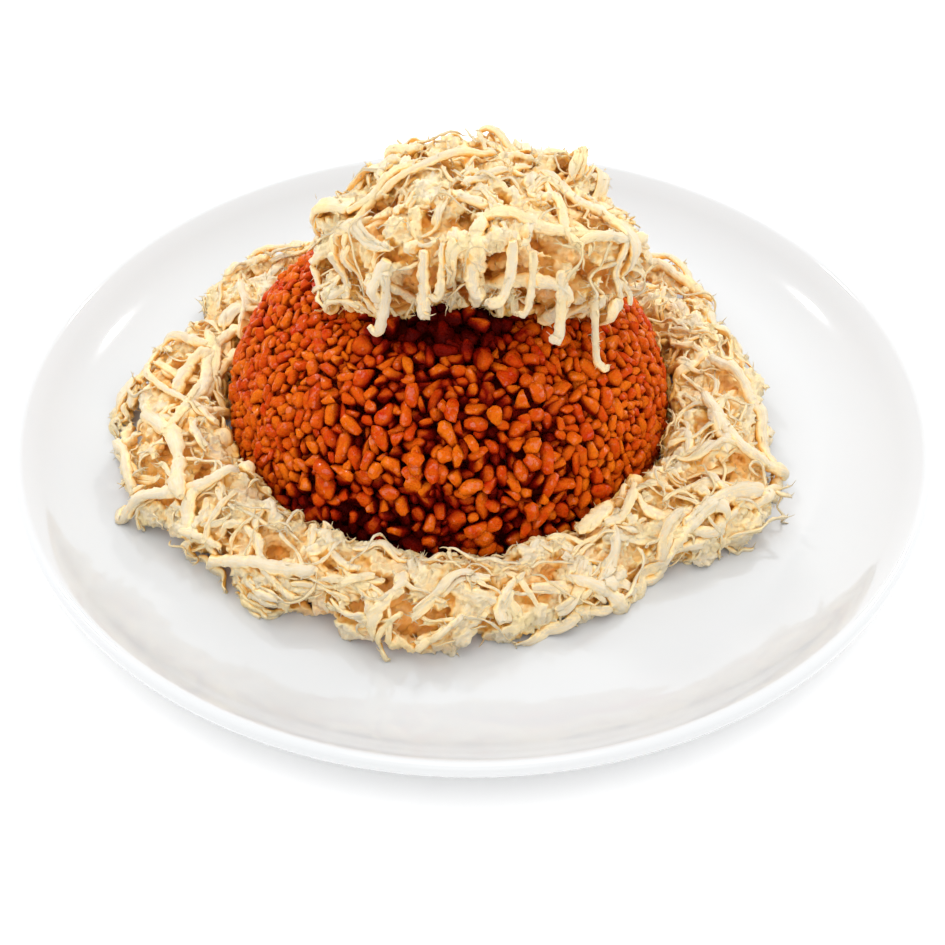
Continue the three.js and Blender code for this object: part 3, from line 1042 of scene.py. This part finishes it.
def stroll(face, start, heading, length, lift, wander, own, sag=0.1):
    """A path over a heap that keeps to its face, wanders to the left and right and dips up and down."""
    steps = max(4, round(length / STEP))
    wave, phase = own.uniform(1.0, 3.0), own.uniform(0, 6)
    heave = own.uniform(0.0002, 0.0012)
    ends = own.uniform(-0.0015, 0.0018, 2)
    spot, out = face(start)
    first_out = out
    along = unit(heading - out * np.dot(heading, out))
    swing = own.normal(0, wander)
    points = []
    for i in range(steps + 1):
        share = i / steps
        free = ends[0] * max(0, 1 - share * 4) ** 2 + ends[1] * max(0, share * 4 - 3) ** 2
        points.append(spot + out * (lift + heave * math.sin(wave * share * 6 + phase) + free))
        swing = 0.8 * swing + own.normal(0, wander * 0.6)
        down = np.array((0, 0, -sag * (1 - out[2])))
        along = unit(along + np.cross(out, along) * swing + down)
        spot, out = face(spot + along * STEP)
        along = unit(along - out * np.dot(along, out))
    return np.array(points), first_out


def clear(points, gap):
    """Points moved up or out until they are at least the gap from the plate and the dome of bulgur."""
    past = np.maximum(np.hypot(points[:, 0], points[:, 1]) - WELL_RADIUS, 0)
    floor_z = WELL_HEIGHT + RIM_CURVE - np.sqrt(np.maximum(RIM_CURVE**2 - past**2, 0)) + gap
    points = points.copy()
    points[:, 2] = np.maximum(points[:, 2], floor_z)
    skin = dome_face(points, 0) + dome_out(points) * gap
    inside = np.linalg.norm(points - DOME_FOOT, axis=1) < np.linalg.norm(skin - DOME_FOOT, axis=1)
    return np.where(inside[:, None], skin, points)


KINDS = {  # lengths, widths and lifts from the heap's outline, ropes side by side, how the shred lies
    "flesh": {
        "long": (0.010, 0.022), "wide": (0.0040, 0.0085), "lift": (-0.0048, -0.0016), "ropes": (2, 5),
        "wander": 0.07, "twist": 0.6, "splay": 0.5, "ragged": 0.5, "swelling": 0.12, "blunt": (0.3, 0.7),
    },
    "strips": {
        "long": (0.012, 0.030), "wide": (0.0028, 0.0056), "lift": (-0.0016, 0.0008), "ropes": (1, 2),
        "wander": 0.07, "twist": 0.7, "splay": 0.2, "ragged": 1.0, "swelling": 0.16, "blunt": (0.3, 0.9),
    },
    "ropes": {
        "long": (0.010, 0.030), "wide": (0.0014, 0.0046), "lift": (-0.0014, 0.0014), "ropes": (1, 5),
        "wander": 0.11, "twist": 0.9, "splay": 1.3, "ragged": 0.8, "swelling": 0.18, "blunt": (0.15, 0.7),
    },
    "strings": {
        "long": (0.005, 0.020), "wide": (0.0006, 0.0013), "lift": (-0.0020, 0.0026), "ropes": (1, 1),
        "wander": 0.19, "twist": 0.3, "splay": 0.0, "ragged": 0.6, "swelling": 0.2, "blunt": (0.2, 0.6),
    },
}
LAID_LIFT = 0.0014  # how high the large shreds on top lie over a heap's outline
LAID_WANDER = 0.05
LAID_RAGGED = 0.6
LAID = {  # how they are shaped
    "strips": {"twist": 0.1, "splay": 0.1, "swelling": 0.05, "blunt": (0.35, 0.55), "drawn": (0.12, 0.35)},
    "ropes": {"twist": 0.2, "splay": 0.3, "swelling": 0.09, "blunt": (0.4, 0.8)},
}
SKINS = {  # how each kind's skin is shaped
    "flesh": {"Flatness": 0.8, "Lumps": 0.5, "Grooves": 0.4, "Crumbs": 0.0, "Step": STEP, "Sides": 8},
    "strips": {"Flatness": 0.34, "Lumps": 0.6, "Grooves": 1.2, "Crumbs": 0.2, "Step": 0.0007, "Sides": 13},
    "ropes": {"Flatness": 0.85, "Lumps": 0.9, "Grooves": 1.0, "Crumbs": 0.9, "Step": 0.0006, "Sides": 7},
    "strings": {"Flatness": 0.85, "Lumps": 1.0, "Grooves": 0.0, "Crumbs": 1.6, "Step": 0.0007, "Sides": 4},
    "loose_fibres": {"Flatness": 1.0, "Lumps": 0.0, "Grooves": 0.0, "Crumbs": 0.0, "Step": 0.0009,
                     "Sides": 3},
}


def pull(kind, face, starts, headings, own, sag, strays):
    """Shreds of one kind laid over a heap."""
    shreds = Shreds()
    for start, heading in zip(starts, headings):
        width = own.uniform(*kind["wide"])
        lift = own.uniform(*kind["lift"])
        path, out = stroll(face, start, heading, own.uniform(*kind["long"]), lift, kind["wander"], own, sag)
        path = clear(smooth_path(path, 1), width * 0.25)
        most = max(1, min(kind["ropes"][1], round(width / 0.0011)))
        ropes = int(own.integers(min(kind["ropes"][0], most), most + 1))
        tear(shreds, strays, path, width, ropes, own, out, kind)
    return shreds


def laid_on_top(face, starts, headings, kind, wide, long, own):
    """Large shreds that lie over the others, each as a kind, width, ropes, raggedness and way."""
    laid = []
    for start, heading in zip(starts, headings):
        path, _ = stroll(face, start, heading, own.uniform(*long), LAID_LIFT, LAID_WANDER, own)
        laid.append((kind, own.uniform(*wide), 1, LAID_RAGGED, path))
    return laid


def serve_pulled(heap, face, depth, starts, packed, own, sag, counts, large):
    """The flesh, strips, ropes and strings of a heap, each kind one piece, and their loose fibres."""
    strays = Shreds()
    served = []
    for kind, form in KINDS.items():
        shreds = pull(form, face, *starts(counts[kind], own), own, sag, strays)
        for laid, width, ropes, ragged, path in large:
            if laid == kind:
                spine = clear(smooth_path(path, 3), width * 0.3)
                way = face(spine[0])[1]
                tear(shreds, strays, spine, width, ropes, own, way, {**LAID[kind], "ragged": ragged})
        if kind == "flesh":
            served.append(grown_together(f"{heap}_flesh", shreds, packed, flesh_finish))
        else:
            skin = thin_finish if kind == "strings" else meat_finish
            served.append(meat_piece(f"{heap}_{kind}", shreds, skin, **SKINS[kind]))
    served.append(meat_piece(f"{heap}_loose_fibres", strays, thin_finish, **SKINS["loose_fibres"]))
    shut_in(served)
    for piece in served:
        note(piece.data, "deep", np.clip(depth(corners_of(piece)) / DEEP_AT, 0, 1))
        serve(piece, heap)


# --- Chicken, the ring: pulled meat laid by hand round the foot of the dome. It leans on the bulgur,
# crests beside it and tumbles out over the well in uneven bulges.
RING_MIDDLE = DOME_RADIUS + 0.009  # where it is highest, from the dome's axis
RING_INNER = 0.0092  # how far it reaches from there towards the dome
RING_EDGE = 0.0905  # where it ends, from the dome's axis
RING_HEIGHT = 0.0165
RING_THICKNESS = 0.014  # from its outline to its middle line
RING_CORE_SINK = 0.0062  # packed meat below the ring's outline
RING_SQUARENESS = 2.2
RING_REACHES = [  # azimuth, how far it reaches out further, half width in degrees
    (-172, 0.010, 16),
    (-146, 0.006, 10),
    (-100, 0.005, 10),
    (-52, -0.006, 9),
    (-29, 0.013, 13),
    (-4, 0.005, 12),
    (36, 0.011, 16),
    (141, 0.008, 11),
]


def bulged(edge, turn, reaches):
    """An edge that reaches out further in bulges, each given as azimuth, reach and half width in degrees."""
    for at, reach, half in reaches:
        edge = edge + reach * np.exp(-((off_by(turn, math.radians(at)) / math.radians(half)) ** 2))
    return edge


def ring_edge(turn):
    """How far from the dome's axis the ring ends, at an azimuth in radians."""
    return bulged(RING_EDGE + 0.0014 * np.sin(11 * turn), turn, RING_REACHES)


def ring_level(points):
    """How far out a point lies between the ring's middle line, 0, and its outline, 1, and the lean and
    the rise of the way straight out."""
    turn = azimuth(points)
    across = np.hypot(points[..., 0] - DOME_X, points[..., 1]) - RING_MIDDLE
    up = np.maximum(points[..., 2] - WELL_HEIGHT, 0)
    wide = np.where(across > 0, ring_edge(turn) - RING_MIDDLE, RING_INNER)
    high = RING_HEIGHT * (1 + 0.12 * np.sin(3 * turn + 2) + 0.06 * np.sin(7 * turn))
    level = (np.abs(across) / wide) ** RING_SQUARENESS + (up / high) ** RING_SQUARENESS
    return level ** (1 / RING_SQUARENESS), across / wide**2, up / high**2


def ring_face(place):
    """The nearest point of the ring's outline, and the way straight out of it."""
    place = np.array((place[0], place[1], max(place[2], WELL_HEIGHT + 0.0003)))
    level, lean, rise = ring_level(place)
    x, y = place[0] - DOME_X, place[1]
    r = math.hypot(x, y)
    ray = (x / r, y / r)
    stretch = (1 + 0.2 * noise.noise(Vector((x, y, place[2])) * 85)) / level
    size = math.hypot(lean, rise)
    out = np.array((ray[0] * lean / size, ray[1] * lean / size, rise / size))
    reach = RING_MIDDLE + (r - RING_MIDDLE) * stretch
    up = (place[2] - WELL_HEIGHT) * stretch
    return np.array((DOME_X + ray[0] * reach, ray[1] * reach, WELL_HEIGHT + up)), out


def ring_depth(points):
    """About how far below the ring's outline points are."""
    return (1 - ring_level(points)[0]) * RING_THICKNESS


def ring_starts(count, own):
    """Places over the ring and the ways that shreds set off from there."""
    turn = own.uniform(0, 2 * math.pi, count)
    climb = own.uniform(0.02, 1.0, count) ** 0.85 * math.radians(140)
    ray = np.stack((np.cos(turn), np.sin(turn), np.zeros(count)), 1)
    r = RING_MIDDLE + 0.012 * np.cos(climb)
    starts = ray * r[:, None] + (DOME_X, 0, WELL_HEIGHT)
    starts[:, 2] += 0.012 * np.sin(climb)
    round_way = np.stack((-ray[:, 1], ray[:, 0], np.zeros(count)), 1)
    round_way = round_way * own.choice((-1, 1), count)[:, None]
    veer = own.normal(0, 0.9, count)[:, None]
    return starts, round_way * np.cos(veer) + (ray + (0, 0, 0.3)) * np.sin(veer)


def ring_core():
    """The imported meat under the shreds, seen only in the gaps."""
    rows = 26
    turns = 200
    corners = []
    faces = []
    for k in range(turns):
        turn = 2 * math.pi * k / turns
        ray = np.array((math.cos(turn), math.sin(turn), 0))
        for i in range(rows):
            climb = math.radians(172) * i / (rows - 1) + math.radians(4)
            away = ray * (RING_MIDDLE + 0.01 * math.cos(climb))
            spot, out = ring_face(away + (DOME_X, 0, WELL_HEIGHT + 0.01 * math.sin(climb)))
            corners.append(spot - out * RING_CORE_SINK)
    corners = np.array(corners)
    corners[:, 2] = np.maximum(corners[:, 2], WELL_HEIGHT + 0.0004)
    for k in range(turns):
        after = (k + 1) % turns
        for i in range(rows):
            up = (i + 1) % rows
            faces.append((k * rows + i, after * rows + i, after * rows + up, k * rows + up))
    return clear(corners, 0.0004), faces


def placed(points):
    """Points given as azimuth in degrees, distance from the dome's axis and height over the well in mm."""
    turn, away, up = np.array(points, dtype=float).T
    turn, away, up = np.radians(turn), away / 1000, up / 1000
    return np.stack((DOME_X + away * np.cos(turn), away * np.sin(turn), WELL_HEIGHT + up), 1)


RING_BACK = [  # kind, width, ropes side by side, raggedness and way of what lies over the ring's back
    ("ropes", 0.0052, 3, 1.0, [(42, 93, 11), (50, 90, 11), (58, 88, 10.5), (66, 88, 10.5)]),
    ("ropes", 0.0048, 3, 1.0, [(48, 83, 14.5), (56, 84, 14.5), (65, 83.5, 14.5), (74, 84, 14.5)]),
    ("ropes", 0.0036, 2, 0.9, [(68, 79, 16.5), (72, 84, 14.5), (75, 88, 11), (77, 92, 3)]),
    ("ropes", 0.0044, 3, 1.1, [(84, 83, 15), (80, 87, 12.5), (72, 88.5, 11), (63, 90.5, 6)]),
    ("ropes", 0.0034, 1, 0.8, [(54, 77, 16.5), (59, 80, 16), (62, 85, 13.5), (60, 91, 5)]),
]
RING_LARGE = [  # kind, number, widths, lengths
    ("ropes", 26, (0.0026, 0.0042), (0.030, 0.055)),
    ("strips", 10, (0.0050, 0.0068), (0.018, 0.032)),
]
RING_COUNTS = {"flesh": 500, "strips": 60, "ropes": 170, "strings": 300}
RING_SAG = 0.05  # how much a shred turns downhill on its way
chance = np.random.default_rng(32)
ring_top = []
for kind, count, wide, long in RING_LARGE:
    ring_top += laid_on_top(ring_face, *ring_starts(count, chance), kind, wide, long, chance)
for kind, width, ropes, ragged, way in RING_BACK:
    ring_top.append((kind, width, ropes, ragged, placed(way)))
serve_pulled("chicken_ring", ring_face, ring_depth, ring_starts, ring_core(), np.random.default_rng(31),
             RING_SAG, RING_COUNTS, ring_top)

# --- Chicken, the heap: the rest of the meat dropped on the crown of the dome. It slumps over both
# shoulders, stands out in front like the peak of a cap, and loose ropes hang down before the grains.
HEAP_MIDDLE = np.array((0.001, 0.001, WELL_HEIGHT + 0.053))
HEAP_RADIUS = 0.0400
HEAP_DEPTH = 0.88  # front to back, as a share of left to right
HEAP_RISE = 0.0320
HEAP_DROP = 0.013  # how far it reaches down from its middle
HEAP_LEAN = 0.004  # how far its top lies to the right
HEAP_PEAK = 0.031  # how much higher the rim is in front
HEAP_PEAK_HALF = math.radians(50)
HEAP_PEAK_THIN = 0.6  # how much thinner it is there
HEAP_SQUARENESS = 2.3
HEAP_SLUMPS = [(-160, 0.004, 28), (-18, 0.003, 34)]  # azimuth, further reach, half width, over its shoulders
HEAP_CORE_SINK = 0.0065  # packed meat below the heap's outline
HEAP_THICKNESS = 0.030  # from its outline to its middle


def heap_plan(x, y):
    """How far the heap reaches that way from its middle, and how much it is raised there as a peak."""
    turn = np.arctan2(y, x)
    wide = bulged(HEAP_RADIUS / np.hypot(np.cos(turn), np.sin(turn) / HEAP_DEPTH), turn, HEAP_SLUMPS)
    in_front = np.exp(-((off_by(turn, FRONT) / HEAP_PEAK_HALF) ** 2))
    return wide, in_front * np.minimum(np.hypot(x, y) / wide, 1.1) ** 1.5


def heap_flat(points):
    """Places about the heap's middle as they would be without its lean and its peak, and how far out
    they lie between that middle, 0, and its outline, 1."""
    near = points - HEAP_MIDDLE
    x = near[..., 0] - HEAP_LEAN * np.maximum(0.0, near[..., 2]) / HEAP_RISE
    y = near[..., 1]
    wide, peak = heap_plan(x, y)
    up = (near[..., 2] - HEAP_PEAK * peak) / (1 - HEAP_PEAK_THIN * peak)
    high = np.where(up > 0, HEAP_RISE, HEAP_DROP)
    level = (np.hypot(x, y) / wide) ** HEAP_SQUARENESS + (np.abs(up) / high) ** HEAP_SQUARENESS
    return np.stack((x, y, up), -1), level ** (1 / HEAP_SQUARENESS)


def heap_face(place):
    """The nearest point of the heap's outline, and the way straight out of it."""
    flat, level = heap_flat(place)
    x, y, up = flat / level * (1 + 0.2 * noise.noise(Vector(flat / level) * 75))
    _, peak = heap_plan(x, y)
    z = up * (1 - HEAP_PEAK_THIN * peak) + HEAP_PEAK * peak
    spot = HEAP_MIDDLE + (x + HEAP_LEAN * max(0.0, z) / HEAP_RISE, y, z)
    around = spot + np.concatenate((np.eye(3), -np.eye(3))) * 0.0004
    levels = heap_flat(around)[1]
    return spot, unit(levels[:3] - levels[3:])


def heap_depth(points):
    """About how far below the heap's outline points are."""
    return (1 - heap_flat(points)[1]) * HEAP_THICKNESS


def heap_starts(count, own, low=-0.15):
    """Places over the heap and the ways that shreds set off from there, mostly down its sides."""
    turn = own.uniform(0, 2 * math.pi, count)
    climb = np.arcsin(own.uniform(low, 1.0, count))
    ray = np.stack((np.cos(turn) * np.cos(climb), np.sin(turn) * np.cos(climb), np.sin(climb)), 1)
    headings = own.normal(0, 1, (count, 3)) + np.array((0, 0, -0.5))
    return HEAP_MIDDLE + ray * 0.03, headings


def heap_core():
    """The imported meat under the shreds, seen only in the gaps."""
    half_round = [(math.cos(a), math.sin(a)) for a in np.linspace(-math.pi / 2, math.pi / 2, 46)]
    corners, faces = turned(half_round, 100)
    spots = []
    for corner in corners:
        spot, out = heap_face(HEAP_MIDDLE + 0.02 * np.array(corner) + (0, 0, 1e-5))
        spots.append(spot - out * HEAP_CORE_SINK)
    return clear(np.array(spots), 0.0002), faces


def hanging(turn, width, drop, swing):
    """A rope that hangs from the heap's lip at an azimuth and hooks up again at its end."""
    ray = np.array((math.cos(turn), math.sin(turn)))
    wide, peak = heap_plan(*(ray * HEAP_RADIUS))
    lip = heap_face(HEAP_MIDDLE + (*(ray * wide), HEAP_PEAK * peak))[0]
    share = np.linspace(0, 1, 12)[:, None]
    aside = np.array((-ray[1], ray[0], 0))
    away = np.array((ray[0], ray[1], 0))
    fall = np.sin(0.64 * math.pi * share)
    path = lip + away * 0.004 * share - np.array((0, 0, drop)) * fall + aside * swing * share**2
    return "ropes", width, 1, 0.8, path


HEAP_LARGE = [  # kind, number, widths, lengths
    ("ropes", 14, (0.0026, 0.0040), (0.028, 0.050)),
    ("strips", 6, (0.0048, 0.0066), (0.018, 0.030)),
]
HEAP_COUNTS = {"flesh": 240, "strips": 30, "ropes": 90, "strings": 180}
HEAP_SAG = 0.22
chance = np.random.default_rng(42)
heap_top = []
for kind, count, wide, long in HEAP_LARGE:
    heap_top += laid_on_top(heap_face, *heap_starts(count, chance, 0.1), kind, wide, long, chance)
for turn in np.linspace(-128, -42, 8):  # degrees along the front of the lip
    drop = chance.uniform(0.012, 0.026)
    swing = chance.uniform(-0.009, 0.009)
    at = math.radians(turn + chance.uniform(-4, 4))
    heap_top.append(hanging(at, chance.uniform(0.0022, 0.0034), drop, swing))
serve_pulled("chicken_heap", heap_face, heap_depth, heap_starts, heap_core(), np.random.default_rng(41),
             HEAP_SAG, HEAP_COUNTS, heap_top)
